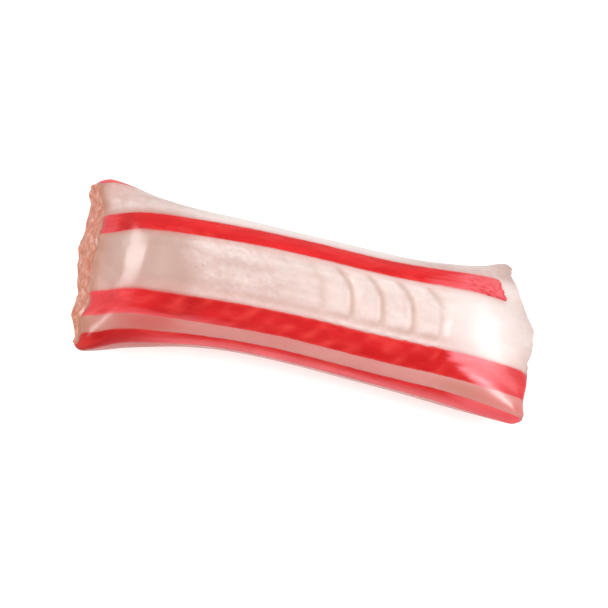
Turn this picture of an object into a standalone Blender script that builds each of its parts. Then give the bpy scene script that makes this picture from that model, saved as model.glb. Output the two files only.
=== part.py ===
"""A mint straw: one cut length of pulled sugar rope. It is white and waisted, pinched and flared at both
ends, snapped rough where it was cut, and has strips of red sugar laid into its skin from end to end.

Metres, +Z up. The straw lies along X on the flat of its belly. The origin is under its middle, on the floor.
Places round the straw are turns, as shares of its girth from the crown: 0 is up (+Z), 0.25 is the near side
(-Y), 0.5 is the belly and 0.75 is the far side.
"""

import functools
import math

import bmesh
import bpy
import numpy as np
from mathutils import Vector, noise
from mathutils.geometry import delaunay_2d_cdt

MM = 0.001

# Overall form
LENGTH = 38.8 * MM
WAIST_WIDTH = 10.7 * MM
THICKNESS = 9.5 * MM
BELLY_FLAT = 0.7 * MM  # how deep the belly is pressed flat where it cooled
SQUARENESS = 2.3  # 2 is an ellipse, and more is boxier
UNEVEN = 0.12 * MM  # the hand-pulled rope's slow swelling and shrinking
SWAY = 0.3 * MM  # the middle line's wander to either side
SWAY_LENGTH = 32.0 * MM
SWAY_PEAK = -4.5 * MM  # where along the straw it lies furthest back

# Each end: extra width and the length over which it fades, the snapped face's half thickness, how far its
# upper edge sits back from its lower one, with the share of that which is left at its near corner, and how
# far its near and far corners are broken back, or stand out if below 0, with the width over which they do.
LEFT_END = {
    "side": -1,
    "flare": 5.0 * MM,
    "fade": 7.3 * MM,
    "fade_power": 1.5,
    "snap": 2.3 * MM,
    "lean": 2.1 * MM,
    "near_lean": 0.3,
    "near_corner": 1.5 * MM,
    "near_reach": 8.8 * MM,
    "far_corner": -0.6 * MM,
    "far_reach": 3.8 * MM,
}
RIGHT_END = {
    "side": 1,
    "flare": 3.3 * MM,
    "fade": 6.5 * MM,
    "fade_power": 1.2,
    "snap": 2.0 * MM,
    "lean": -0.4 * MM,
    "near_lean": 1.0,
    "near_corner": -0.5 * MM,
    "near_reach": 3.6 * MM,
    "far_corner": 2.8 * MM,
    "far_reach": 7.0 * MM,
}
PINCH_REACH = 8.0 * MM  # length over which each end is pinched thinner
PINCH_POWER = 2.2  # 1 is a straight wedge, and more is a rounder shoulder
WARP_REACH = 6.5 * MM  # length over which the rope's lines turn to follow the broken end
CORNER_LENGTH = 1.0 * MM  # the flared corners' rounding, along the straw and across it
CORNER_WIDTH = 0.5 * MM
CHIP_DEPTH = 0.35 * MM  # how raggedly the broken rim runs
CHIP_SIZE = 1.6 * MM
FLARE_TURN = 0.3  # the ends' extra girth lies past this turn, below the widest part of either side

# The band that the rollers pressed along the crown, and the ribs they left in it
BAND = (-0.062, 0.080)
BAND_RIM = 0.022  # the turn over which its rims rise
BAND_DEPTH = 0.16 * MM
BAND_HALF_LENGTH = 13.4 * MM
RIB_PITCH = 2.6 * MM
RIB_OFFSET = 1.4 * MM  # where along the straw the middle groove between two ribs lies
RIB_DEPTH = 0.18 * MM
RIB_ARC = 0.35 * MM  # how far each groove bows towards the right end
RIB_SKEW = 1.2 * MM  # how much further right a groove's near end lies than its far end
GROOVE_COUNT = 9

# Red strips: the turns between which each lies, and how much further round it is at the right end than at
# the left. They lie this deep in the white sugar.
RED_STRIPS = {
    "red_strip_crown": (-0.126, -0.068, -0.020),
    "red_strip_front": (0.097, 0.165, -0.005),
    "red_strip_front_low": (0.209, 0.275, 0.0),
    "red_strip_under_front": (0.322, 0.412, 0.012),
    "red_strip_under_back": (0.582, 0.626, 0.008),
    "red_strip_back": (0.690, 0.754, -0.050),
}
STRIP_DEPTH = 0.8 * MM
STRIP_GAP = 0.15 * MM  # clearance between a strip and the walls and bottom of its groove
GAP_TURN = STRIP_GAP / (math.pi * (WAIST_WIDTH + THICKNESS) / 2)

# Mesh fineness
RING_STEP = 0.023  # turn between points round the skin
OUTLINE_POINTS = 720  # points of the fine outline that turns are measured on
END_STEPS = (0.0, 0.25, 0.7, 1.3, 2.1, 3.1, 4.4)  # millimetres in from each end
GRAIN = 1.15 * MM  # size of the crags on the snapped faces
CRAG_DEPTH = 0.45 * MM

WHITE_SUGAR = {"color": (0.90, 0.74, 0.68, 1.0), "roughness": 0.28}
RED_SUGAR = {"color": (0.78, 0.02, 0.025, 1.0), "roughness": 0.20}


def clear_scene():
    for obj in list(bpy.data.objects):
        bpy.data.objects.remove(obj)


def smooth(t):
    """0 up to 0, 1 from 1 on, with a soft start and end between."""
    t = min(1.0, max(0.0, t))
    return t * t * (3.0 - 2.0 * t)


def inset(x, end):
    """Distance in from an end, along the straw."""
    return max(0.0, LENGTH / 2 - end["side"] * x)


def half_width(x):
    width = WAIST_WIDTH / 2
    for end in (LEFT_END, RIGHT_END):
        distance = inset(x, end)
        width += end["flare"] / 2 * math.exp(-((distance / end["fade"]) ** end["fade_power"]))
        width -= CORNER_WIDTH * max(0.0, 1.0 - distance / CORNER_LENGTH) ** 2
    return width


def half_thickness(x):
    thickness = THICKNESS / 2
    for end in (LEFT_END, RIGHT_END):
        pinch = max(0.0, 1.0 - inset(x, end) / PINCH_REACH) ** PINCH_POWER
        thickness -= (THICKNESS / 2 - end["snap"]) * pinch
    return thickness


def middle_line(x):
    return SWAY * math.cos(2.0 * math.pi * (x - SWAY_PEAK) / SWAY_LENGTH)


@functools.lru_cache(maxsize=None)
def outline(x):
    """The section's smooth outline from the crown round the near side: the length to each point, its y and z."""
    turns = np.linspace(0.0, 2.0 * math.pi, OUTLINE_POINTS + 1)
    across, up = -np.sin(turns), np.cos(turns)
    ys = half_width(x) * np.sign(across) * np.abs(across) ** (2.0 / SQUARENESS)
    zs = half_thickness(x) * np.sign(up) * np.abs(up) ** (2.0 / SQUARENESS)
    lengths = np.append(0.0, np.cumsum(np.hypot(np.diff(ys), np.diff(zs))))
    return lengths, ys, zs


def drifted(x, turn):
    """Where round the straw a turn has drifted to here. Between the strips, each one's own drift is blended."""
    middles = [(start + stop) / 2 for start, stop, _ in RED_STRIPS.values()]
    drifts = [drift for _, _, drift in RED_STRIPS.values()]
    return (turn + np.interp(turn, middles, drifts, period=1.0) * x / LENGTH) % 1.0


def on_outline(x, turn):
    """The y and z of a turn on the smooth outline. Above FLARE_TURN the skin keeps the waist's lengths."""
    lengths, ys, zs = outline(x)
    upper, girth = FLARE_TURN * outline(0.0)[0][-1], lengths[-1]
    marks = (0.0, FLARE_TURN, 1.0 - FLARE_TURN, 1.0)
    place = np.interp(drifted(x, turn), marks, (0.0, upper, girth - upper, girth))
    return float(np.interp(place, lengths, ys)), float(np.interp(place, lengths, zs))


def press(x, turn):
    """Depth of the rollers' marks in the skin: the pressed band, and the grooves between its ribs."""
    middle, half = sum(BAND) / 2, (BAND[1] - BAND[0]) / 2
    inside = smooth((half - abs(turn - middle)) / BAND_RIM)
    inside *= smooth((BAND_HALF_LENGTH - abs(x)) / (RIB_PITCH / 2))
    ribbed = smooth((GROOVE_COUNT * RIB_PITCH / 2 - abs(x - RIB_OFFSET)) / RIB_PITCH)
    groove = 0.5 + 0.5 * math.cos(2.0 * math.pi * (x - RIB_OFFSET) / RIB_PITCH)
    return inside * (BAND_DEPTH + ribbed * RIB_DEPTH * groove)


def drag(x, turn):
    """How far the rollers dragged the rope's lines along it, so that the grooves lie bowed and askew."""
    off_middle = (turn - sum(BAND) / 2) / (BAND[1] - BAND[0])
    askew = RIB_SKEW * off_middle * (1.0 - smooth(abs(off_middle) - 0.5))
    bowed = RIB_ARC * (1.0 - smooth(abs(off_middle)))
    return (askew + bowed) * smooth((BAND_HALF_LENGTH - abs(x)) / RIB_PITCH)


def corner_setback(y, z, end):
    """How far the broken end sits back at this place on it."""
    limit = half_width(end["side"] * LENGTH / 2)
    far = end["far_corner"] * smooth((y - limit) / end["far_reach"] + 1.0)
    near = end["near_corner"] * smooth((-y - limit) / end["near_reach"] + 1.0)
    chip = CHIP_DEPTH * noise.noise(Vector((end["side"] * 7.0, y / CHIP_SIZE, z / CHIP_SIZE)))
    return far + near + chip


def leaned_back(y, z, end):
    """How far this place sits back because the broken end slopes from its lower edge to its upper one."""
    limit = half_width(end["side"] * LENGTH / 2)
    steepness = end["near_lean"] + (1.0 - end["near_lean"]) * smooth(y / limit + 1.0)
    return end["lean"] * steepness * smooth(0.5 + z / (2.0 * end["snap"]))


def follow_break(x, y, z):
    """A place's x after the rope's end lines turn to follow the slanting, broken ends. z is from the middle."""
    moved = x
    for end in (LEFT_END, RIGHT_END):
        share = smooth(1.0 - inset(x, end) / WARP_REACH)
        moved -= end["side"] * share * (corner_setback(y, z, end) + leaned_back(y, z, end))
    return moved


def skin(x, turn, depth=0.0, floor=0.0):
    """A point on the rope's skin, or this deep under it. floor is as low as it may reach."""
    y, z = on_outline(x, turn)
    core = max(0.0, half_width(x) - half_thickness(x))
    inward = Vector((min(core, max(-core, y)) - y, -z)).normalized()
    from_crown = (turn + 0.5) % 1.0 - 0.5
    swelling = UNEVEN * noise.noise(Vector((x, y, z)) / (7.0 * MM))
    y, z = Vector((y, z)) + inward * (depth + press(x, from_crown) - swelling)
    dragged = x + drag(x, from_crown)
    height = z + THICKNESS / 2 - BELLY_FLAT
    return Vector((follow_break(dragged, y, z), y + middle_line(x), max(height, floor)))


def stations():
    """Places along the rope where its section is drawn: close at the ends, and two for each rib between."""
    ends = [LENGTH / 2 - step * MM for step in END_STEPS]
    ribs = [RIB_OFFSET + half * RIB_PITCH / 2 for half in range(-GROOVE_COUNT - 1, GROOVE_COUNT + 1)]
    return [-x for x in ends] + ribs + ends[::-1]


def spread(start, stop):
    """Turns from start to stop, evenly spaced and about RING_STEP apart."""
    count = max(1, round((stop - start) / RING_STEP))
    return [start + (stop - start) * i / count for i in range(count + 1)]


def grooved_section():
    """The white sugar's section as (turn, depth) pairs: the skin, with a groove for each red strip."""
    grooves = sorted((start - GAP_TURN, stop + GAP_TURN) for start, stop, _ in RED_STRIPS.values())
    section = []
    for i, (start, stop) in enumerate(grooves):
        section += [(turn, STRIP_DEPTH + STRIP_GAP) for turn in spread(start, stop)]
        following = grooves[i + 1][0] if i + 1 < len(grooves) else grooves[0][0] + 1.0
        section += [(turn, 0.0) for turn in spread(stop, following)]
    return section


def strip_section(start, stop):
    """A red strip's section as (turn, depth) pairs: along the skin, and back along its underside."""
    turns = spread(start, stop)
    return [(turn, 0.0) for turn in turns] + [(turn, STRIP_DEPTH) for turn in reversed(turns)]


def loft(mesh, section, floor):
    """Draws the section at every station, joins the loops into a tube, and returns its two end loops."""
    loops = []
    for x in stations():
        loop = [mesh.verts.new(skin(x, turn, depth, floor)) for turn, depth in section]
        edges = [mesh.edges.new((loop[i - 1], loop[i])) for i in range(len(loop))]
        if loops:
            bmesh.ops.bridge_loops(mesh, edges=loops[-1][1] + edges)
        loops.append((loop, edges))
    return loops[0][0], loops[-1][0]


def crag(y, z, end):
    """How far the snapped face stands out at this place: a low dome, broken into crags."""
    place = Vector((end["side"] * 3.0, y / (1.7 * MM), z / (1.7 * MM)))
    return CRAG_DEPTH * (0.5 + noise.noise(place))


def grains(outline_points, end):
    """A jittered grid of places inside the snapped face, clear of its outline."""
    low = Vector([min(point[axis] for point in outline_points) for axis in (0, 1)])
    high = Vector([max(point[axis] for point in outline_points) for axis in (0, 1)])
    places = []
    for row in range(int((high.y - low.y) / GRAIN) + 1):
        for column in range(int((high.x - low.x) / GRAIN) + 1):
            cell = Vector((column * 1.7, row * 1.3, end["side"] * 5.1))
            jitter = Vector((noise.noise(cell), noise.noise(cell + Vector((0.0, 0.0, 40.3)))))
            place = low + (Vector((column + row % 2 / 2, row + 0.5)) + jitter) * GRAIN
            if min((place - point).length for point in outline_points) > GRAIN / 2:
                places.append(place)
    return places


def snapped_face(mesh, rim, end):
    """Closes an end of the white sugar with a rough, cragged face that meets the rim."""
    rim_points = [Vector((vert.co.y, vert.co.z)) for vert in rim]
    places = rim_points + grains(rim_points, end)
    points, _, faces, origins, _, _ = delaunay_2d_cdt(places, [], [range(len(rim))], 1, 1e-7)
    mean_x = sum(vert.co.x for vert in rim) / len(rim)
    verts = {}
    for i in sorted({corner for face in faces for corner in face}):
        if origins[i] and origins[i][0] < len(rim):
            verts[i] = rim[origins[i][0]]
            continue
        point = points[i]
        nearest = sorted(rim, key=lambda vert: (Vector((vert.co.y, vert.co.z)) - point).length)[:6]
        rim_x = sum(vert.co.x for vert in nearest) / len(nearest)
        x = 0.7 * rim_x + 0.3 * mean_x + end["side"] * crag(point.x, point.y, end)
        verts[i] = mesh.verts.new((x, point.x, point.y))
    for face in faces:
        mesh.faces.new([verts[i] for i in face])


def sugar(name, look):
    material = bpy.data.materials.new(name)
    material.use_nodes = True
    shader = material.node_tree.nodes["Principled BSDF"]
    shader.inputs["Base Color"].default_value = look["color"]
    shader.inputs["Roughness"].default_value = look["roughness"]
    shader.inputs["Metallic"].default_value = 0.0
    return material


def finish(mesh, name, material):
    bmesh.ops.triangulate(mesh, faces=[face for face in mesh.faces if len(face.verts) > 3])
    bmesh.ops.recalc_face_normals(mesh, faces=mesh.faces)
    data = bpy.data.meshes.new(name)
    mesh.to_mesh(data)
    mesh.free()
    data.materials.append(material)
    data.shade_smooth()
    data.set_sharp_from_angle(angle=math.radians(35.0))
    obj = bpy.data.objects.new(name, data)
    bpy.context.scene.collection.objects.link(obj)


def white_sugar(material):
    """The straw itself, grooved for the strips and snapped rough at both ends."""
    mesh = bmesh.new()
    left, right = loft(mesh, grooved_section(), 0.0)
    snapped_face(mesh, left, LEFT_END)
    snapped_face(mesh, right, RIGHT_END)
    finish(mesh, "white_sugar", material)


def red_strip(name, start, stop, material):
    """One strip of red sugar, lying in its groove from one snapped end to the other."""
    mesh = bmesh.new()
    for loop in loft(mesh, strip_section(start, stop), STRIP_GAP):
        mesh.faces.new(loop)
    finish(mesh, name, material)


def stand_on_origin():
    """Moves every piece by one shift, so that the origin is under the middle of the whole straw's box."""
    corners = np.array([corner for obj in bpy.data.objects for corner in obj.bound_box])
    middle = (corners.min(axis=0) + corners.max(axis=0)) / 2
    for obj in bpy.data.objects:
        obj.location = (-middle[0], -middle[1], 0.0)


def main():
    clear_scene()
    white_sugar(sugar("white_sugar", WHITE_SUGAR))
    red = sugar("red_sugar", RED_SUGAR)
    for name, (start, stop, _) in RED_STRIPS.items():
        red_strip(name, start, stop, red)
    stand_on_origin()


main()
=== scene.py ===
import functools
import math

import bmesh
import bpy
import numpy as np
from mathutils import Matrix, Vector, noise


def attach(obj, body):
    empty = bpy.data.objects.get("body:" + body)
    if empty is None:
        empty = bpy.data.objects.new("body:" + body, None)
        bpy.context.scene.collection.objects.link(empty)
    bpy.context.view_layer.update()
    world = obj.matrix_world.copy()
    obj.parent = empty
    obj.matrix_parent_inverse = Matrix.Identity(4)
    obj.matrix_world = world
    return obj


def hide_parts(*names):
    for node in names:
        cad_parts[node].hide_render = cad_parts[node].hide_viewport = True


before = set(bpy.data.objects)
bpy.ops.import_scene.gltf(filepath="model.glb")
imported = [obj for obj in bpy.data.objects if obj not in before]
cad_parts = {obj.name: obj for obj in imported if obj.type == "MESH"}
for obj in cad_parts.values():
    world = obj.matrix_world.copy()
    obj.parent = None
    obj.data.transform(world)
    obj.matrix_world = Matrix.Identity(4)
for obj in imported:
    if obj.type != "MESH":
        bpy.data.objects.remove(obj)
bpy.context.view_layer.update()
mm = 0.001

# Lengths are millimetres until a point is put in a mesh. A place round the rope is a turn: 0 is
# the crown, 0.25 the near side, 0.5 the belly and 0.75 the far side. A ramp is where a change
# starts, how far it takes, below 0 where it runs backwards, and what it comes to. A bump is its
# middle, half its width and its height. Where the last number isn't given, it is 1.
rope = {
    "length": 38.8,
    "waistWidth": 10.7,
    "thickness": 9.5,
    "bellyFlat": 0.7,               # how much of the belly is pressed flat
    "squareness": 2.3,
    "swelling": 0.12,
    "swellingSize": 7.0,
    "sway": 0.3,
    "swayLength": 32.0,
    "swayPeak": -4.5,
    "shift": (-0.27209, 0.26076),   # puts the straw's middle over the origin
    "rows": 396,
    "crowding": 0.12,               # how much closer the rows lie towards the ends
    "columnStep": 0.0052,           # turn between columns
    "bandStep": 0.0034,             # and where the rollers pressed, inside bandColumns
    "bellyStep": 0.0085,            # and on the belly, past bellyTurn
    "bandColumns": (-0.07, 0.10),
    "bellyTurn": 0.36,
    "columnMarks": (-0.36, -0.02, 0.05, 0.36),
}
leftEnd = {
    "side": -1,
    "flare": 5.0,                   # how much wider than the waist, and over what length that fades
    "fade": 7.3,
    "fadePower": 1.5,
    "snap": 2.3,                    # half the thickness that it was pinched to
    "lean": 1.7,                    # how far the break leans back at the crown
    "nearLean": 0.3,                # and the share of that on the near side
    "nearCorner": 1.5,              # how far its corners stay back, and over what width
    "nearReach": 8.8,
    "farCorner": -0.6,
    "farReach": 3.8,
}
rightEnd = {
    "side": 1,
    "flare": 3.3,
    "fade": 6.5,
    "fadePower": 1.2,
    "snap": 2.0,
    "lean": -0.4,
    "nearLean": 1.0,
    "nearCorner": -0.5,
    "nearReach": 3.6,
    "farCorner": 2.8,
    "farReach": 7.0,
}
endShape = {
    "pinchReach": 8.0, "pinchPower": 2.2, "warpReach": 6.5, "flareTurn": 0.3,
    "cornerLength": 1.0, "cornerWidth": 0.5,
    "chipDepth": 0.35, "chipSize": 1.6,
    "fineChip": 0.035,              # small bites along the broken rim
    "fineChipSize": 0.5,
    "fineChipReach": 0.9,
    "rimRound": 0.45,               # the broken rim's rounding
}
# the last number of each strip is how much painted shade darkens it towards the left end
strips = {
    "redStripCrown": {
        "node": "red_strip_crown", "turns": (-0.126, -0.068), "drift": -0.020, "shadedLeft": 0.45,
    },
    "redStripFront": {
        "node": "red_strip_front", "turns": (0.097, 0.165), "drift": -0.005, "shadedLeft": 0.8,
    },
    "redStripFrontLow": {
        "node": "red_strip_front_low", "turns": (0.209, 0.275), "drift": 0.0, "shadedLeft": 0.95,
    },
    "redStripUnderFront": {
        "node": "red_strip_under_front", "turns": (0.322, 0.412), "drift": 0.012, "shadedLeft": 0.5,
    },
    "redStripUnderBack": {
        "node": "red_strip_under_back", "turns": (0.582, 0.626), "drift": 0.008, "shadedLeft": 0.3,
    },
    "redStripBack": {
        "node": "red_strip_back", "turns": (0.690, 0.754), "drift": -0.050, "shadedLeft": 0.3,
    },
}
stripShape = {
    "proud": 0.022,                 # how far a strip's middle bulges out of the white
    "buried": 0.35,
    "hidden": 1.41,                 # a strip's whole width over the width that shows
    "wobble": (0.0016, 1.9),        # how unevenly its edges run, in turns, and over what length
    "fineWobble": (0.0009, 0.5),
    "wipeDepth": 0.012,
    "crownDip": (17.35, 0.35, 0.2),  # the crown strip dips under the white near the right rim
}


def ease(t):
    t = min(1.0, max(0.0, t))
    return t * t * (3.0 - 2.0 * t)


def ramp(value, start, length, amount=1.0):
    return amount * ease((value - start) / length)


def bump(value, middle, width, height=1.0):
    return height * math.exp(-(((value - middle) / width) ** 2))


def unevenAt(x, y, z):
    return noise.noise(Vector((x, y, z)))


def fromCrown(turn):
    return (turn + 0.5) % 1.0 - 0.5


def inset(x, end):
    return max(0.0, rope["length"] / 2 - end["side"] * x)


def halfWidth(x):
    width = rope["waistWidth"] / 2
    for end in (leftEnd, rightEnd):
        distance = inset(x, end)
        width += end["flare"] / 2 * math.exp(-((distance / end["fade"]) ** end["fadePower"]))
        corner = max(0.0, 1.0 - distance / endShape["cornerLength"]) ** 2
        width -= endShape["cornerWidth"] * corner
    return width


def halfThickness(x):
    thickness = rope["thickness"] / 2
    for end in (leftEnd, rightEnd):
        pinch = max(0.0, 1.0 - inset(x, end) / endShape["pinchReach"]) ** endShape["pinchPower"]
        thickness -= (rope["thickness"] / 2 - end["snap"]) * pinch
        off = max(0.0, 1.0 - inset(x, end) / endShape["rimRound"])
        thickness -= endShape["rimRound"] * (1.0 - math.sqrt(1.0 - min(0.98, off) ** 2))
    return thickness


def middleLine(x):
    return rope["sway"] * math.cos(2.0 * math.pi * (x - rope["swayPeak"]) / rope["swayLength"])


@functools.lru_cache(maxsize=None)
def ropeOutline(x):
    turns = np.linspace(0.0, 2.0 * math.pi, 721)
    across, up = -np.sin(turns), np.cos(turns)
    power = 2.0 / rope["squareness"]
    ys = halfWidth(x) * np.sign(across) * np.abs(across) ** power
    zs = halfThickness(x) * np.sign(up) * np.abs(up) ** power
    lengths = np.append(0.0, np.cumsum(np.hypot(np.diff(ys), np.diff(zs))))
    return lengths, ys, zs


girth = ropeOutline(0.0)[0][-1]


def onOutline(x, turn):
    # strips drift round the rope as they run along, and the flares stretch the belly alone
    middles = [sum(strip["turns"]) / 2 for strip in strips.values()]
    drifts = [strip["drift"] for strip in strips.values()]
    drift = np.interp(turn, middles, drifts, period=1.0)
    drifted = (turn + drift * x / rope["length"]) % 1.0
    lengths, ys, zs = ropeOutline(x)
    upper = endShape["flareTurn"] * girth
    marks = (0.0, endShape["flareTurn"], 1.0 - endShape["flareTurn"], 1.0)
    place = np.interp(drifted, marks, (0.0, upper, lengths[-1] - upper, lengths[-1]))
    return float(np.interp(place, lengths, ys)), float(np.interp(place, lengths, zs))


roller = {
    "band": (-0.062, 0.080),        # turns that the rollers pressed
    "rim": 0.022,                   # over how many turns the band's edges come up
    "shadeRim": 0.008,              # and the grooves' painted shade stops
    "depth": 0.16,
    "halfLength": 13.4,
    "grooves": 9,
    "pitch": 2.6,
    "offset": 1.4,
    "ribDepth": 0.085,
    "grooveWidth": 0.27,
    "steepSide": 1.3,               # a groove's left half and right half, over its width
    "softSide": 2.1,
    "padRise": 0.12,                # how far a rib's right edge stands over the next rib
    "padPower": 1.3,
    "padEdge": (0.66, 0.34),        # where along a rib its pad rolls over, as shares
    "farCurl": (1.2, 0.42),         # how far a groove's far end bends left, and what share of it
    "nearCurl": (0.25, 0.25),
    "arc": 0.35,
    "skew": 1.2,
    "faint": 0.10,                  # what is left of the ribs left of the middle
    "crisp": (-0.3, 3.6, 0.90),
}
crease = {
    "depth": 0.10,                  # valley below the ribs' near ends
    "near": (-0.007, 0.0085),       # turns from the band's near edge, and half its width
    "far": (0.005, 0.004),          # and the finer one at their far ends
    "farShare": 0.4,
    "wedge": (0.45, 0.55),          # its share at a rib's left end, and what its right end adds
    "beadHeight": 0.09,             # sugar squeezed up into a ridge beside it
    "bead": (0.008, 0.0045),
    "beads": (0.65, 0.35, 1.0),     # the ridge's even share and beaded share, and the beads' shift
    "beadShares": (0.15, 0.85),     # what there is of it without ribs, and what crisp ribs add
}


def ribPhase(x, turn):
    # how many ribs along this place is from the middle groove, whose ends curl back to the left
    low, high = roller["band"]
    share = (turn - low) / (high - low)
    farBend, farShare = roller["farCurl"]
    nearBend, nearShare = roller["nearCurl"]
    curl = farBend * max(0.0, 1.0 - share / farShare) ** 2
    curl += nearBend * max(0.0, (share - (1.0 - nearShare)) / nearShare) ** 2
    return (x + curl - roller["offset"]) / roller["pitch"]


def ribStrength(x):
    # the ribs are crisp right of the middle and faint to the left
    reach = roller["grooves"] * roller["pitch"] / 2 - abs(x - roller["offset"])
    return ease(reach / roller["pitch"]) * (roller["faint"] + ramp(x, *roller["crisp"]))


def grooveHere(x, turn):
    # a groove is steep on its left, under the last rib's lip, and runs out softly on its right
    phase = ribPhase(x, turn)
    distance = (phase - round(phase)) * roller["pitch"]
    side = roller["softSide"] if distance > 0.0 else roller["steepSide"]
    return ribStrength(x) * bump(distance, 0.0, roller["grooveWidth"] * side)


def padHere(x, turn):
    # each rib swells towards its right edge, like a scale lying over the next one
    phase = ribPhase(x, turn)
    share = phase - math.floor(phase)
    return ribStrength(x) * share ** roller["padPower"] * (1.0 - ramp(share, *roller["padEdge"]))


def alongBand(x):
    return ease((roller["halfLength"] - abs(x)) / (roller["pitch"] / 2))


def acrossBand(turn, rim):
    low, high = roller["band"]
    middle, half = (low + high) / 2, (high - low) / 2
    return ease((half - abs(turn - middle)) / rim)


def creaseHere(x, turn):
    # the crease along the ribs' near ends is deepest at each rib's right end
    low, high = roller["band"]
    phase = ribPhase(x, turn)
    left, more = crease["wedge"]
    wedge = left + more * (phase - math.floor(phase)) * ribStrength(x)
    near, nearWidth = crease["near"]
    far, farWidth = crease["far"]
    finer = crease["farShare"] * bump(turn, low + far, farWidth)
    return alongBand(x) * max(wedge * bump(turn, high + near, nearWidth), finer)


def ridgeHere(x, turn):
    even, beaded, shift = crease["beads"]
    beads = even + beaded * math.cos(4.0 * math.pi * ribPhase(x, turn) + shift)
    away, width = crease["bead"]
    faint, crisp = crease["beadShares"]
    strength = faint + crisp * ribStrength(x)
    return beads * bump(turn, roller["band"][1] + away, width) * alongBand(x) * strength


def pressed(x, turn):
    inside = acrossBand(turn, roller["rim"]) * alongBand(x)
    rise = roller["padRise"] * padHere(x, turn)
    depth = inside * (roller["depth"] + roller["ribDepth"] * grooveHere(x, turn) - rise)
    valley = crease["depth"] * creaseHere(x, turn)
    return depth + valley - crease["beadHeight"] * ridgeHere(x, turn)


def dragged(x, turn):
    # the rollers drag the skin along, askew and in a bow
    low, high = roller["band"]
    off = (turn - (low + high) / 2) / (high - low)
    askew = roller["skew"] * off * (1.0 - ease(abs(off) - 0.5))
    bowed = roller["arc"] * (1.0 - ease(abs(off)))
    return (askew + bowed) * ease((roller["halfLength"] - abs(x)) / roller["pitch"])


def setback(y, z, end):
    # how far the broken end stays behind a straight cut: its two corners, and chips
    limit = halfWidth(end["side"] * rope["length"] / 2)
    far = end["farCorner"] * ease((y - limit) / end["farReach"] + 1.0)
    near = end["nearCorner"] * ease((-y - limit) / end["nearReach"] + 1.0)
    size = endShape["chipSize"]
    return far + near + endShape["chipDepth"] * unevenAt(end["side"] * 7.0, y / size, z / size)


def leanedBack(y, z, end):
    limit = halfWidth(end["side"] * rope["length"] / 2)
    steepness = end["nearLean"] + (1.0 - end["nearLean"]) * ease(y / limit + 1.0)
    return end["lean"] * steepness * ease(0.5 + z / (2.0 * end["snap"]))


def followBreak(x, y, z):
    moved = x
    size = endShape["fineChipSize"]
    for end in (leftEnd, rightEnd):
        share = ease(1.0 - inset(x, end) / endShape["warpReach"])
        if share > 0.0:
            moved -= end["side"] * share * (setback(y, z, end) + leanedBack(y, z, end))
            close = ease(1.0 - inset(x, end) / endShape["fineChipReach"])
            bite = abs(unevenAt(end["side"] * 3.0, y / size, z / size))
            moved -= end["side"] * close * endShape["fineChip"] * bite
    return moved


def toScene(x, y, z, along):
    # along is the place that the sway is read at, from before the end was broken off
    height = z + rope["thickness"] / 2 - rope["bellyFlat"]
    return Vector((x + rope["shift"][0], y + middleLine(along) + rope["shift"][1], height))


def ropePoint(x, turn, depth=0.0, floor=stripShape["proud"]):
    y, z = onOutline(x, turn)
    core = max(0.0, halfWidth(x) - halfThickness(x))
    inward = Vector((min(core, max(-core, y)) - y, -z)).normalized()
    turn = fromCrown(turn)
    swelling = rope["swelling"] * noise.noise(Vector((x, y, z)) / rope["swellingSize"])
    y, z = Vector((y, z)) + inward * (depth + pressed(x, turn) - swelling)
    point = toScene(followBreak(x + dragged(x, turn), y, z), y, z, x)
    point.z = max(point.z, floor)
    return point


def ropeSpace(x, turn):
    # an even cylinder that the pulled sugar's patterns are drawn in, in millimetres
    radius = girth / (2.0 * math.pi)
    angle = 2.0 * math.pi * turn
    return Vector((x, -radius * math.sin(angle), radius * math.cos(angle)))


def rowPlaces():
    half = rope["length"] / 2
    even = np.linspace(-1.0, 1.0, rope["rows"])
    return [float(half * (u + rope["crowding"] * math.sin(math.pi * u) / math.pi)) for u in even]


def columnTurns():
    # columns round the rope, with one on each edge of every strip; the seam runs along the belly
    edges = [fromCrown(turn) for strip in strips.values() for turn in strip["turns"]]
    marks = sorted([-0.5, *edges, 0.5, *rope["columnMarks"]])
    turns = []
    for start, stop in zip(marks, marks[1:]):
        middle = (start + stop) / 2
        step = rope["bellyStep"] if abs(middle) > rope["bellyTurn"] else rope["columnStep"]
        if rope["bandColumns"][0] < middle < rope["bandColumns"][1]:
            step = rope["bandStep"]
        count = max(1, round((stop - start) / step))
        turns += [start + (stop - start) * k / count for k in range(count)]
    return turns


def sweepGrid(rows, section, place, floatLayers):
    # a flat grid rolled into a tube: a row for each place along, a column for each of the section
    bm = bmesh.new()
    bmesh.ops.create_grid(bm, x_segments=len(rows) - 1, y_segments=len(section), size=1.0)
    layers = {name: bm.verts.layers.float.new(name) for name in ("along", "around", *floatLayers)}
    layers["ropeSpace"] = bm.verts.layers.float_vector.new("ropeSpace")
    seam = {}
    for vert in bm.verts:
        i = round((vert.co.x + 1.0) / 2.0 * (len(rows) - 1))
        j = round((vert.co.y + 1.0) / 2.0 * len(section))
        if j in (0, len(section)):
            seam.setdefault(i, {})[j] = vert
        turn, depth = section[j % len(section)]
        vert.co = place(rows[i], turn, depth) * mm
        vert[layers["ropeSpace"]] = ropeSpace(rows[i], turn)
        vert[layers["along"]] = rows[i]
        vert[layers["around"]] = turn
    bmesh.ops.weld_verts(bm, targetmap={pair[len(section)]: pair[0] for pair in seam.values()})
    return bm, layers


def openLoop(bm, layers, x):
    return [edge for edge in bm.edges if edge.is_boundary
            and all(abs(vert[layers["along"]] - x) < 1e-4 for vert in edge.verts)]


crags = {
    "broad": (0.34, 3.0, 1.8),      # height, and size across and up
    "layered": (0.22, 1.3, 0.55),
    "flakes": (0.12, 0.7, 0.4),
    "grit": (0.04, 0.25, 0.2),
    "rightHeight": 0.7,             # the right break is smoother and lies a little in from its rim
    "rightInset": 0.26,
    "rings": 22,
    "ringSpacing": 1.15,
    "lastRing": 0.97,
}


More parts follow.
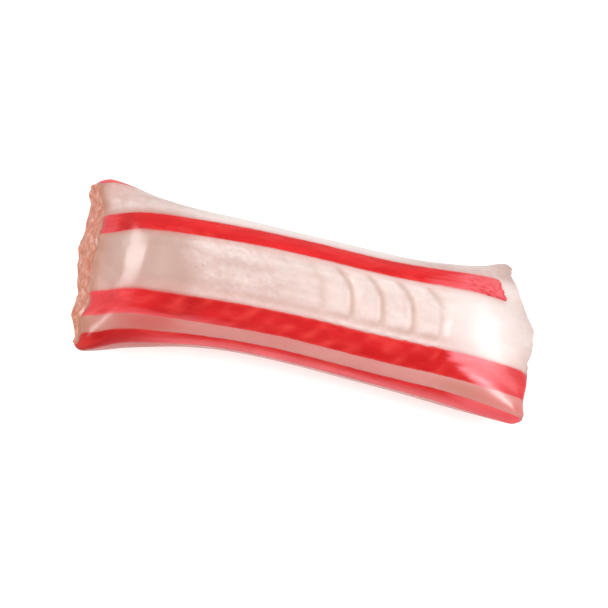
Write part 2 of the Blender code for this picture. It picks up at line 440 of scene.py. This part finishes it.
def crag(y, z, end):
    # the pulled sugar breaks in layers that lie along the flattened end
    def relief(name, seed, lift=0.0):
        height, across, up = crags[name]
        return height * (lift + unevenAt(end["side"] * 3.0 + seed, y / across, z / up))

    coarse = relief("broad", 0.0, 0.5) + relief("layered", 4.0) + relief("flakes", 2.0)
    grit = relief("grit", 9.0)
    if end is rightEnd:
        return crags["rightHeight"] * coarse + grit - crags["rightInset"]
    return coarse + grit


def snapFace(bm, layers, end):
    # rings of edges extruded from the rim to the middle of the broken face, each set on the crags
    x = end["side"] * rope["length"] / 2
    edges = openLoop(bm, layers, x)
    core = max(0.0, halfWidth(x) - halfThickness(x))
    middle = toScene(0.0, 0.0, 0.0, x)
    for ring in range(1, crags["rings"] + 1):
        share = ring / crags["rings"]
        grown = bmesh.ops.extrude_edge_only(bm, edges=edges)["geom"]
        edges = [item for item in grown if isinstance(item, bmesh.types.BMEdge)]
        for vert in [item for item in grown if isinstance(item, bmesh.types.BMVert)]:
            rim = ropePoint(x, vert[layers["around"]]) - middle
            hub = Vector((min(core, max(-core, rim.y)), 0.0))
            inward = crags["lastRing"] * share ** crags["ringSpacing"]
            y, z = Vector((rim.y, rim.z)).lerp(hub, inward)
            out = end["side"] * crag(y, z, end) * ease(ring / 4.0)
            vert.co = toScene(followBreak(x, y, z) + out, y, z, x) * mm
            vert.co.z = max(vert.co.z, 0.0)
            vert[layers["snapped"]] = share
            vert[layers["rimBrownAndShade"]] = 1.0 if end is leftEnd else 0.0
            # the left break is marked 1; the right break -1, which its material lightens with
            # painted light
            vert[layers["toneAndShading"]] = float(-end["side"])
            vert[layers["ropeSpace"]] = Vector((end["side"] * 30.0, y, z))
    bmesh.ops.holes_fill(bm, edges=edges, sides=0)


def finishPiece(bm, name, materials, nodes):
    bmesh.ops.triangulate(bm, faces=[face for face in bm.faces if len(face.verts) > 4])
    bmesh.ops.recalc_face_normals(bm, faces=bm.faces)
    mesh = bpy.data.meshes.new(name)
    bm.to_mesh(mesh)
    bm.free()
    for material in materials:
        mesh.materials.append(material)
    mesh.shade_smooth()
    piece = bpy.data.objects.new(name, mesh)
    bpy.context.scene.collection.objects.link(piece)
    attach(piece, "root")
    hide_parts(*nodes)
    triangles = sum(len(polygon.vertices) - 2 for polygon in mesh.polygons)
    print(f"{name}: {triangles} triangles")


whiteSkin = {
    "faceStart": 0.12,              # how far in from its rim a snapped face looks broken
    "blush": (                      # turn, and how far the red under it tints the white, with painted shade on the near side
        (-0.50, 0.45), (-0.32, 0.30), (-0.20, 0.05), (-0.12, 0.02), (-0.06, 0.0), (0.05, 0.05),
        (0.095, 0.22), (0.165, 0.90), (0.205, 0.90), (0.26, 0.88), (0.28, 0.97), (0.32, 0.92),
        (0.42, 0.45), (0.50, 0.45),
    ),
    "edgeBlush": (0.75, 0.22),      # and beside a strip's edge, and over what width
    "crownEdge": (-0.2, 0.0),       # turns beside the crown strip, and where its edge stops
    "crownEdgeEnd": (17.0, 0.8),
    "nearBand": (0.16, 0.215),      # the white between the near side's two strips, less pink towards the left end under a painted highlight
    "nearBandLitLeft": (-10.5, -7.0, 0.5),
    "pinkCorner": (-15.0, -2.5, 0.5),   # the far corner at the left end
    "pinkCornerRound": (-0.27, 0.06),
    "cloudSize": 2.4,
    # the stretches below are partly painted light, lighter towards the right end and the far
    # middle, and partly painted shade, darker towards the left end and the far right
    "milkyAndLitMiddle": (-3.5, 8.0, 0.45),
    "milkyAndLitRight": (11.0, 5.0, 0.55),
    "tannedAndShadedLeft": (-6.5, -6.0),
    "farSide": (-0.10, -0.06),
    "farShare": 0.8,                # how much less the far side follows the near side
    "farTannedAndShaded": (4.0, 10.0, 0.4),
    "farMilkyAndLit": (12.0, -6.0, 0.95),
    "thinRim": (0.8, 1.3),          # the right rim is thin and less milky
    "rimWidth": 1.0,                # the left rim's brown, partly painted shade
    "rimNarrower": (-0.08, -0.06, 0.6),
    # painted shade on a stretch of white between the near side's two strips, near the right end
    "nearStretchShade": (14.4, 1.8, 0.45),
    "nearStretchShadeRound": (0.187, 0.025),
    "specks": (                     # burnt sugar: place along, turn, size
        (-8.7, 0.012, 0.11), (-8.3, 0.004, 0.08), (-9.3, 0.020, 0.08), (-10.4, -0.030, 0.07),
        (-13.6, -0.145, 0.10), (6.1, -0.185, 0.08), (-3.0, 0.380, 0.10), (11.5, 0.640, 0.09),
    ),
}


def redDistance(x, turn):
    # millimetres round the skin to the nearest strip's edge, below 0 inside a strip
    best = 9.0
    for strip in strips.values():
        start, stop = strip["turns"]
        off = fromCrown(turn - (start + stop) / 2)
        best = min(best, (abs(off) - (stop - start) / 2) * girth)
    return best


def toneAndShadingHere(x, turn):
    # the sugar is browner towards the left end, 1, partly painted shade, and milkier at the right
    # end, -1, partly painted light
    cloud = unevenAt(x / whiteSkin["cloudSize"], turn * 14.0, 2.2)
    milky = ramp(x + 2.0 * cloud, *whiteSkin["milkyAndLitMiddle"])
    milky += ramp(x + 1.5 * cloud, *whiteSkin["milkyAndLitRight"])
    tannedAndShaded = ramp(x - 2.5 * cloud, *whiteSkin["tannedAndShadedLeft"])
    farSide = ramp(fromCrown(turn), *whiteSkin["farSide"])
    farToneAndShading = ramp(x, *whiteSkin["farTannedAndShaded"]) - ramp(abs(x), *whiteSkin["farMilkyAndLit"])
    amount, width = whiteSkin["thinRim"]
    thin = amount * math.exp(-inset(x, rightEnd) / width)
    return (tannedAndShaded - milky) * (1.0 - whiteSkin["farShare"] * farSide) + farToneAndShading * farSide + thin


def redTintAndShadeHere(x, turn):
    amount, width = whiteSkin["edgeBlush"]
    edge = amount * math.exp(-max(0.0, redDistance(x, turn)) / width)
    if whiteSkin["crownEdge"][0] < turn < whiteSkin["crownEdge"][1]:
        edge *= 1.0 - ramp(x, *whiteSkin["crownEdgeEnd"])
    under = float(np.interp(turn, *zip(*whiteSkin["blush"])))
    if whiteSkin["nearBand"][0] < turn < whiteSkin["nearBand"][1]:
        under *= 1.0 - ramp(x, *whiteSkin["nearBandLitLeft"])
    corner = ramp(x, *whiteSkin["pinkCorner"]) * bump(turn, *whiteSkin["pinkCornerRound"])
    return max(edge, under, corner)


def rimBrownAndShadeHere(x, turn):
    # the brown of the broken left rim, partly painted shade on its slope, and painted shade on a
    # stretch between the near side's two strips
    nearStretchShade = bump(x, *whiteSkin["nearStretchShade"]) * bump(turn, *whiteSkin["nearStretchShadeRound"])
    width = whiteSkin["rimWidth"] - ramp(turn, *whiteSkin["rimNarrower"])
    return max(nearStretchShade, math.exp(-inset(x, leftEnd) / width))


def shadedHere(x, turn):
    # painted shade in the rib grooves and the crease below them
    groove = acrossBand(turn, roller["shadeRim"]) * grooveHere(x, turn)
    return max(groove, creaseHere(x, turn))


def speckHere(x, turn):
    return max(math.exp(-((x - at) ** 2 + (fromCrown(turn - around) * girth) ** 2) / size ** 2)
               for at, around, size in whiteSkin["specks"])


def buildWhiteSugar(materials):
    skin = {
        "toneAndShading": toneAndShadingHere, "redTintAndShade": redTintAndShadeHere, "rimBrownAndShade": rimBrownAndShadeHere,
        "groove": shadedHere, "ridgeHighlight": ridgeHere, "speck": speckHere,
    }
    section = [(turn, 0.0) for turn in columnTurns()]
    bm, layers = sweepGrid(rowPlaces(), section, ropePoint, ["snapped", *skin])
    for vert in bm.verts:
        for layer, here in skin.items():
            vert[layers[layer]] = here(vert[layers["along"]], vert[layers["around"]])
    for end in (leftEnd, rightEnd):
        snapFace(bm, layers, end)
    for face in bm.faces:
        if all(vert[layers["snapped"]] > whiteSkin["faceStart"] for vert in face.verts):
            face.material_index = 1
    finishPiece(bm, "whiteSugar", materials, ["white_sugar"])


# ramps and bumps along the straw, or across a strip, which is 0 at one edge and 1 at the other
redSkin = {
    # the darkening below is painted shade, apart from the front strip's spot and the low strip's
    # upper edge
    "shadedLeft": (-7.0, -10.0),
    "frontShade": 0.37,
    "frontLeftShade": (-10.0, 3.0),      # a bump of painted shade, as high as the front strip's left-end shade
    "frontSpot": (-16.6, 0.4),
    "frontSpotAcross": (0.3, 0.14),
    "lowEdgeDeep": (0.6, -0.3, 0.12),
    "crownShoulderShade": (-16.3, 1.0, 0.7),
    "crownGrain": (11.0, 4.0),
    "crownGrainEdge": 0.35,
    "wornLeft": (-17.0, -1.6, 0.2),
    "frontPaleLeft": (-12.6, -2.2, 0.16),
    "frontBlur": (0.66, 0.34, 0.34),
    "frontBlurLeft": (-3.0, -6.0),
    "frontPaleRight": (12.4, 1.2, 0.94),
    "frontRedAgain": (16.0, 2.2, 0.8),
    "crownPaleRight": (12.0, 2.5, 0.58),
    # a painted highlight on the low front strip, as pale pink
    "lowLit": 0.36,
    "lowLitMore": (-1.5, 3.0, 0.12),
    "lowLitAcross": (0.1, 0.5),
    "lowLitAlong": (-14.0, 6.0),
    "lowPaleRight": (13.0, 2.5, 0.38),
    "otherPaleEnds": (16.0, 2.0, 0.4),
    "wipe": {"slant": 0.9, "shift": 0.7, "each": 1.3, "width": 0.40, "ends": (14.0, -2.0)},
}


def wobble(x, seed):
    wide, length = stripShape["wobble"]
    fine, fineLength = stripShape["fineWobble"]
    return wide * unevenAt(x / length, seed, 0.0) + fine * unevenAt(x / fineLength, seed, 5.0)


def smearHere(x, turn):
    # the ribs' marks, wiped slantwise across the red beside them
    wipe = redSkin["wipe"]
    slant = wipe["slant"] * (turn - strips["redStripFront"]["turns"][0]) * girth
    phase = (x + slant - roller["offset"] - wipe["shift"]) / roller["pitch"] * wipe["each"]
    distance = (phase - round(phase)) * roller["pitch"] / wipe["each"]
    patch = max(0.0, 0.35 + 1.2 * unevenAt(x * 0.45, turn * 30.0, 8.8))
    return patch * bump(distance, 0.0, wipe["width"]) * ramp(abs(x), *wipe["ends"])


def shadeAndSpotHere(name, strip, x, share):
    # 1 where the red is darkest: painted shade towards the left end, over the front strip and on
    #                             the crown strip's left shoulder, the front strip's dark spot, and
    #                             along the low strip's upper edge
    if name == "redStripFront":
        spot = bump(x, *redSkin["frontSpot"]) * bump(share, *redSkin["frontSpotAcross"])
        dark = bump(x, *redSkin["frontLeftShade"], strip["shadedLeft"])
        return max(redSkin["frontShade"], dark, spot)
    deep = strip["shadedLeft"] * ramp(x, *redSkin["shadedLeft"])
    if name == "redStripFrontLow":
        return max(deep, ramp(share, *redSkin["lowEdgeDeep"]))
    if name == "redStripCrown":
        return max(deep, bump(x, *redSkin["crownShoulderShade"]))
    return deep


def fadeAndHighlightHere(name, x, share):
    # 0 where the strip is deep red, 1 where it thins out to pale pink, and where a painted
    # highlight lies on the low front strip
    streak = unevenAt(x * 0.5, share * 9.0, 4.2)
    worn = ramp(x + 0.8 * streak, *redSkin["wornLeft"])
    if name == "redStripCrown":
        pale = ramp(x - 1.2 * streak + 1.5 * share, *redSkin["crownPaleRight"])
        return worn if x < 0.0 else pale
    if name == "redStripFront" and x < 0.0:
        blur = ramp(share - 0.12 * streak, *redSkin["frontBlur"])
        pale = ramp(x + 1.5 * streak, *redSkin["frontPaleLeft"])
        return max(worn, blur * ramp(x, *redSkin["frontBlurLeft"]), pale)
    if name == "redStripFront":
        pale = ramp(x - 2.6 * share - 0.9 * streak, *redSkin["frontPaleRight"])
        return pale * (1.0 - ramp(x, *redSkin["frontRedAgain"]))
    if name == "redStripFrontLow":
        lit = redSkin["lowLit"] + bump(x, *redSkin["lowLitMore"])
        lit *= ramp(share, *redSkin["lowLitAcross"]) * ramp(x, *redSkin["lowLitAlong"])
        return max(lit, ramp(x - 0.8 * streak, *redSkin["lowPaleRight"]))
    return ramp(abs(x) - 0.8 * streak, *redSkin["otherPaleEnds"])


def grainyHere(x, share):
    even = redSkin["crownGrainEdge"]
    return ramp(x, *redSkin["crownGrain"]) * (even + (1.0 - even) * ease(share))


def stripSection(strip):
    # a shallow lens that comes out of the white at the strip's edges, over a flat underside
    start, stop = strip["turns"]
    middle, half = (start + stop) / 2, (stop - start) / 2 * stripShape["hidden"]
    count = max(8, 2 * round(half / rope["columnStep"]))
    lens = []
    for k in range(count + 1):
        off = 2.0 * k / count - 1.0
        lens.append((middle + off * half, stripShape["proud"] * (2.0 * off ** 2 - 1.0)))
    return lens + [(turn, stripShape["buried"]) for turn, _ in reversed(lens[::2])]


def buildStrip(name, strip, material):
    start, stop = strip["turns"]

    def place(x, turn, depth):
        share = min(1.0, max(0.0, (turn - start) / (stop - start)))
        moved = turn + (1.0 - share) * wobble(x, start * 90.0) + share * wobble(x, stop * 90.0)
        if name == "redStripFront":
            wiped = smearHere(x, turn) * (1.0 - (2.0 * share - 1.0) ** 2)
            depth += stripShape["wipeDepth"] * wiped
        if name == "redStripCrown":
            ragged = 0.5 * unevenAt(share * 4.0, 3.0, 0.0) + 0.3 * share
            depth += ramp(x - ragged, *stripShape["crownDip"])
        return ropePoint(x, moved, depth, stripShape["proud"] + min(depth, 0.05))

    skin = ["fade", "across", "smear", "deep", "grainy"]
    bm, layers = sweepGrid(rowPlaces(), stripSection(strip), place, skin)
    for vert in bm.verts:
        x, turn = vert[layers["along"]], vert[layers["around"]]
        share = (turn - start) / (stop - start)
        vert[layers["deep"]] = shadeAndSpotHere(name, strip, x, share)
        vert[layers["fade"]] = fadeAndHighlightHere(name, x, share)
        vert[layers["across"]] = 2.0 * share - 1.0
        if name == "redStripFront":
            vert[layers["smear"]] = smearHere(x, turn)
        if name == "redStripCrown":
            vert[layers["grainy"]] = grainyHere(x, share)
    for x in (-rope["length"] / 2, rope["length"] / 2):
        bmesh.ops.holes_fill(bm, edges=openLoop(bm, layers, x), sides=0)
    finishPiece(bm, name, [material], [strip["node"]])


def feed(tree, socket, value):
    # a socket takes another node's output or a plain value
    if isinstance(value, bpy.types.NodeSocket):
        tree.links.new(value, socket)
    else:
        socket.default_value = value


def addNode(tree, kind, **inputs):
    node = tree.nodes.new(kind)
    for key, value in inputs.items():
        feed(tree, node.inputs[key.replace("_", " ")], value)
    return node


def startMaterial(name, sockets):
    material = bpy.data.materials.new(name)
    material.use_nodes = True
    shader = material.node_tree.nodes["Principled BSDF"]
    for socket, value in sockets.items():
        shader.inputs[socket].default_value = value
    return material, material.node_tree, shader


def attribute(tree, name, output="Fac"):
    node = tree.nodes.new("ShaderNodeAttribute")
    node.attribute_name = name
    return node.outputs[output]


def pulledPatterns(tree, patterns):
    # noises that are stretched along the rope
    space = attribute(tree, "ropeSpace", "Vector")
    made = {}
    for name, (scale, detail, roughness) in patterns.items():
        mapping = addNode(tree, "ShaderNodeMapping", Vector=space, Scale=scale)
        texture = addNode(tree, "ShaderNodeTexNoise", Vector=mapping.outputs["Vector"], Scale=1.0,
                          Detail=detail, Roughness=roughness)
        made[name] = texture.outputs["Fac"]
    return made


def calculate(tree, operation, a, b=0.5, clamp=False):
    node = tree.nodes.new("ShaderNodeMath")
    node.operation = operation
    node.use_clamp = clamp
    feed(tree, node.inputs[0], a)
    feed(tree, node.inputs[1], b)
    return node.outputs[0]


def remap(tree, value, low, high, newLow=0.0, newHigh=1.0):
    return addNode(tree, "ShaderNodeMapRange", Value=value, From_Min=low, From_Max=high,
                   To_Min=newLow, To_Max=newHigh).outputs["Result"]


def mixColor(tree, factor, a, b):
    node = tree.nodes.new("ShaderNodeMix")
    node.data_type = "RGBA"
    for index, value in ((0, factor), (6, a), (7, b)):
        feed(tree, node.inputs[index], value)
    return node.outputs[2]


def addBump(tree, shader, height, look):
    node = addNode(tree, "ShaderNodeBump", Strength=look["bump"], Distance=look["bumpHeight"],
                   Height=height)
    tree.links.new(node.outputs["Normal"], shader.inputs["Normal"])


def srgb(red, green, blue):
    def linear(value):
        value /= 255.0
        return value / 12.92 if value <= 0.04045 else ((value + 0.055) / 1.055) ** 2.4
    return (linear(red), linear(green), linear(blue), 1.0)


whiteLook = {
    "cream": srgb(170, 148, 142),
    "milk": srgb(188, 173, 169),
    # tan and white also carry painted shade towards the left end and painted light at the right end
    "white": srgb(197, 186, 183),
    "tan": srgb(152, 123, 112),
    "blush": srgb(172, 94, 88),
    "deepBlush": srgb(163, 79, 73),
    # brown painted shade for the rib grooves and the crease
    "groove": srgb(156, 118, 100),
    "rim": srgb(150, 99, 77),
    "speck": srgb(120, 99, 92),
    "patterns": {                   # scale along and round the rope, detail, roughness
        "fibre": ((0.5, 1.7, 1.7), 1.0, 0.4),
        "bands": ((0.10, 0.8, 0.8), 1.0, 0.5),
        "mottle": ((1.0, 1.3, 1.3), 3.0, 0.55),
        "pearl": ((1.9, 2.6, 2.6), 1.5, 0.5),
        "swell": ((0.42, 0.55, 0.55), 1.0, 0.4),
    },
    "milky": (0.82, 1.18),          # range of a pattern, and then of what it is used for
    "shade": (0.92, 1.25, 0.0, 0.30),
    "tanAndShade": (0.0, 1.0, 0.0, 0.88),
    "milkAndLight": (0.0, -1.0, 0.0, 0.85),
    "blushBands": (0.3, 0.7, 0.85, 1.1),
    "blushToneAndShading": (0.0, 1.0, 0.95, 1.25),
    "speckShare": 0.6,
    "grooveShare": 0.5,
    "ridgeHighlightShare": 0.8,
    "heights": {"fibre": 0.8, "pearl": 0.35, "swell": 9.0},
    "bump": 0.25,
    "bumpHeight": 0.06 * mm,
    "sockets": {
        "Roughness": 0.30,
        "Subsurface Weight": 0.7,
        "Subsurface Radius": (1.0, 0.62, 0.5),
        "Subsurface Scale": 0.7 * mm,
        "IOR": 1.5,
        "Coat Weight": 0.48,
        "Coat Roughness": 0.22,
    },
}


def whiteSugarMaterial():
    look = whiteLook
    material, tree, shader = startMaterial("pulled white sugar", look["sockets"])
    patterns = pulledPatterns(tree, look["patterns"])
    mottle, bands = patterns["mottle"], patterns["bands"]
    milky = remap(tree, calculate(tree, "ADD", bands, mottle), *look["milky"])
    color = mixColor(tree, milky, look["cream"], look["milk"])
    shade = remap(tree, calculate(tree, "ADD", patterns["pearl"], mottle), *look["shade"])
    color = mixColor(tree, shade, color, look["tan"])
    # the tan towards the left end is partly painted shade, and the white at the right end partly
    # painted light
    toneAndShading = attribute(tree, "toneAndShading")
    color = mixColor(tree, remap(tree, toneAndShading, *look["tanAndShade"]), color, look["tan"])
    color = mixColor(tree, remap(tree, toneAndShading, *look["milkAndLight"]), color, look["white"])
    speck = calculate(tree, "MULTIPLY", attribute(tree, "speck"), look["speckShare"])
    color = mixColor(tree, speck, color, look["speck"])
    # the pink is partly red seen through the white and partly painted shade, most on the near side
    # and deeper towards the left end
    blush = attribute(tree, "redTintAndShade")
    for value, limits in ((bands, look["blushBands"]), (toneAndShading, look["blushToneAndShading"])):
        blush = calculate(tree, "MULTIPLY", blush, remap(tree, value, *limits), clamp=True)
    blushed = mixColor(tree, remap(tree, toneAndShading, 0.0, 1.0), look["blush"], look["deepBlush"])
    color = mixColor(tree, blush, color, blushed)
    # painted shade in the rib grooves and the crease
    groove = calculate(tree, "MULTIPLY", attribute(tree, "groove"), look["grooveShare"])
    color = mixColor(tree, groove, color, look["groove"])
    # a painted highlight along the ridge beside the crease
    ridgeHighlight = calculate(tree, "MULTIPLY", attribute(tree, "ridgeHighlight"), look["ridgeHighlightShare"])
    color = mixColor(tree, ridgeHighlight, color, look["milk"])
    # the broken left rim's brown, partly painted shade on its slope, and painted shade on the near
    # side's stretch
    color = mixColor(tree, attribute(tree, "rimBrownAndShade"), color, look["rim"])
    tree.links.new(color, shader.inputs["Base Color"])
    height = 0.0
    for name, share in look["heights"].items():
        height = calculate(tree, "ADD", height, calculate(tree, "MULTIPLY", patterns[name], share))
    addBump(tree, shader, height, look)
    return material


snappedLook = {
    # peach is the broken inside's tone, darkened in part with painted shade
    "peach": srgb(161, 97, 74),
    "pale": srgb(193, 152, 137),
    "stain": srgb(178, 74, 65),
    "patterns": {
        "layer": ((1.0, 1.3, 2.2), 4.0, 0.6),
        "glintsAndRelief": ((1.0, 3.8, 5.5), 2.0, 0.5),
        "smear": ((1.0, 0.7, 1.8), 2.0, 0.5),
    },
    "layered": (0.45, 0.68, 0.0, 0.8),
    "paintedGlints": (0.66, 0.74, 0.0, 0.7),
    "smeared": (0.62, 0.70, 0.0, 0.8),
    "rightBreakLit": (1.0, -1.0, 0.0, 0.85),
    "bump": 0.6,
    "bumpHeight": 0.16 * mm,
    "sockets": {
        "Roughness": 0.26,
        "Subsurface Weight": 0.6,
        "Subsurface Radius": (1.0, 0.5, 0.35),
        "Subsurface Scale": 0.6 * mm,
        "IOR": 1.5,
    },
}


def snappedSugarMaterial():
    look = snappedLook
    material, tree, shader = startMaterial("snapped sugar", look["sockets"])
    patterns = pulledPatterns(tree, look["patterns"])
    layered = remap(tree, patterns["layer"], *look["layered"])
    color = mixColor(tree, layered, look["peach"], look["pale"])
    # painted glints on the broken facets; the same pattern also raises the bumps
    color = mixColor(tree, remap(tree, patterns["glintsAndRelief"], *look["paintedGlints"]), color, look["pale"])
    color = mixColor(tree, remap(tree, patterns["smear"], *look["smeared"]), color, look["stain"])
    # the right break is lightened towards cream, painted light
    right = remap(tree, attribute(tree, "toneAndShading"), *look["rightBreakLit"])
    color = mixColor(tree, right, color, whiteLook["cream"])
    tree.links.new(color, shader.inputs["Base Color"])
    addBump(tree, shader, patterns["glintsAndRelief"], look)
    return material


redLook = {
    "deep": srgb(164, 10, 12),
    "bright": srgb(182, 22, 26),
    "dark": srgb(140, 9, 11),
    "pale": srgb(205, 104, 110),
    "edge": srgb(185, 85, 81),
    "wiped": srgb(183, 50, 45),
    "patterns": {
        "fibre": ((0.3, 2.6, 2.6), 3.0, 0.5),
        "streaks": ((0.25, 1.4, 1.4), 3.0, 0.6),
        "blotch": ((0.45, 1.1, 1.1), 2.0, 0.5),
        "grain": ((1.6, 5.0, 5.0), 3.0, 0.6),
    },
    "streaked": (0.35, 0.65),
    "fadedStreaks": (0.35, 0.65, 0.8, 1.1),
    "edgeStart": (0.86, 1.02, 0.0, 0.7),
    "blotched": (0.50, 0.72, 0.0, 0.45),
    "wipedShare": 0.75,
    "grained": (0.46, 0.64),
    "bump": 0.2,
    "bumpHeight": 0.04 * mm,
    "sockets": {
        "Roughness": 0.25,
        "Subsurface Weight": 0.35,
        "Subsurface Radius": (1.0, 0.15, 0.12),
        "Subsurface Scale": 0.5 * mm,
        "IOR": 1.5,
        "Specular IOR Level": 0.22,
        "Coat Weight": 0.05,
        "Coat Roughness": 0.10,
    },
}


def redSugarMaterial():
    look = redLook
    material, tree, shader = startMaterial("red sugar", look["sockets"])
    patterns = pulledPatterns(tree, look["patterns"])
    streaks = patterns["streaks"]
    color = mixColor(tree, remap(tree, streaks, *look["streaked"]), look["deep"], look["bright"])
    # the dark red is mostly painted shade, with the front strip's dark spot
    color = mixColor(tree, attribute(tree, "deep"), color, look["dark"])
    across = calculate(tree, "ABSOLUTE", attribute(tree, "across"))
    color = mixColor(tree, remap(tree, across, *look["edgeStart"]), color, look["edge"])
    color = mixColor(tree, remap(tree, patterns["blotch"], *look["blotched"]), color, look["wiped"])
    wiped = calculate(tree, "MULTIPLY", attribute(tree, "smear"), look["wipedShare"])
    color = mixColor(tree, wiped, color, look["wiped"])
    # pale pink where the strips thin out, and a painted highlight on the low front strip
    faded = remap(tree, streaks, *look["fadedStreaks"])
    faded = calculate(tree, "MULTIPLY", attribute(tree, "fade"), faded, clamp=True)
    color = mixColor(tree, faded, color, look["pale"])
    grain = remap(tree, patterns["grain"], *look["grained"])
    grain = calculate(tree, "MULTIPLY", grain, attribute(tree, "grainy"))
    color = mixColor(tree, grain, color, look["deep"])
    tree.links.new(color, shader.inputs["Base Color"])
    addBump(tree, shader, patterns["fibre"], look)
    return material


studio = {
    "floor": srgb(244, 242, 240),
    "floorSize": 1.5,               # metres
    "floorRoughness": 0.7,
    "floorGlow": 0.2,               # a lit table under the straw, so it hardly casts a shadow
    "tent": (1.0, 0.99, 0.985, 1.0),
    "tentRange": (-0.8, 0.8, 0.42, 0.86),  # from the front to the back, and its brightness there
    "lampTarget": 4.0,
    "lens": 280.0,
    "sensor": 36.0,
    "azimuth": 12.0,
    "elevation": 68.0,
    "height": 4.4,                  # what the camera looks at, over the floor
    "strawLength": 39.8,
    "fill": 0.78,                   # the straw's share of the picture's width
    "clip": (0.01, 10.0),
}
lamps = {
    "rightSoft": {"at": (150, 40, 185), "size": (185, 75), "power": 0.235, "gloss": True},
    "rightFill": {"at": (140, -50, 185), "size": (230, 150), "power": 0.22, "gloss": False},
    "leftSoft": {"at": (-150, 58, 172), "size": (125, 175), "power": 0.46, "gloss": True},
    "rightSpark": {"at": (90, -150, 150), "size": (55, 55), "power": 0.15, "gloss": True},
    "leftSpark": {"at": (-143, -131, 124), "size": (50, 50), "power": 0.08, "gloss": True},
    "frontSoft": {"at": (20, -220, 170), "size": (320, 240), "power": 0.265, "gloss": False},
}


def aim(obj, target):
    obj.rotation_mode = "QUATERNION"
    obj.rotation_quaternion = (target - obj.location).to_track_quat("-Z", "Y")


def buildFloor():
    bm = bmesh.new()
    bmesh.ops.create_grid(bm, x_segments=1, y_segments=1, size=studio["floorSize"])
    mesh = bpy.data.meshes.new("floor")
    bm.to_mesh(mesh)
    bm.free()
    floor = bpy.data.objects.new("floor", mesh)
    floor.visible_glossy = False    # the glossy sides mirror the tent, not a white floor
    bpy.context.scene.collection.objects.link(floor)
    material = startMaterial("pale floor", {
        "Base Color": studio["floor"], "Roughness": studio["floorRoughness"],
        "Emission Color": studio["floor"], "Emission Strength": studio["floorGlow"],
    })[0]
    mesh.materials.append(material)


def buildTent():
    world = bpy.data.worlds.new("studio")
    world.use_nodes = True
    tree = world.node_tree
    direction = tree.nodes.new("ShaderNodeTexCoord").outputs["Generated"]
    backward = addNode(tree, "ShaderNodeSeparateXYZ", Vector=direction).outputs["Y"]
    background = tree.nodes["Background"]
    background.inputs["Color"].default_value = studio["tent"]
    strength = remap(tree, backward, *studio["tentRange"])
    tree.links.new(strength, background.inputs["Strength"])
    bpy.context.scene.world = world


def addLamp(name, lamp):
    light = bpy.data.lights.new(name, "AREA")
    light.shape = "RECTANGLE"
    light.size, light.size_y = [side * mm for side in lamp["size"]]
    light.energy = lamp["power"]
    obj = bpy.data.objects.new(name, light)
    obj.location = Vector(lamp["at"]) * mm
    obj.visible_glossy = lamp["gloss"]
    bpy.context.scene.collection.objects.link(obj)
    aim(obj, Vector((0.0, 0.0, studio["lampTarget"])) * mm)


def addCamera():
    camera = bpy.data.objects.new("camera", bpy.data.cameras.new("camera"))
    camera.data.lens = studio["lens"]
    camera.data.clip_start, camera.data.clip_end = studio["clip"]
    turn, rise = math.radians(studio["azimuth"]), math.radians(studio["elevation"])
    level = math.cos(rise)
    back = Vector((math.sin(turn) * level, -math.cos(turn) * level, math.sin(rise)))
    target = Vector((0.0, 0.0, studio["height"])) * mm
    width = studio["strawLength"] * mm / studio["fill"]
    camera.location = target + back * (width * studio["lens"] / studio["sensor"])
    aim(camera, target)
    bpy.context.scene.collection.objects.link(camera)
    bpy.context.scene.camera = camera
    bpy.context.scene.view_settings.view_transform = "Standard"


buildWhiteSugar([whiteSugarMaterial(), snappedSugarMaterial()])
redSugar = redSugarMaterial()
for name, strip in strips.items():
    buildStrip(name, strip, redSugar)
buildFloor()
buildTent()
for name, lamp in lamps.items():
    addLamp(name, lamp)
addCamera()
print("studio ready")
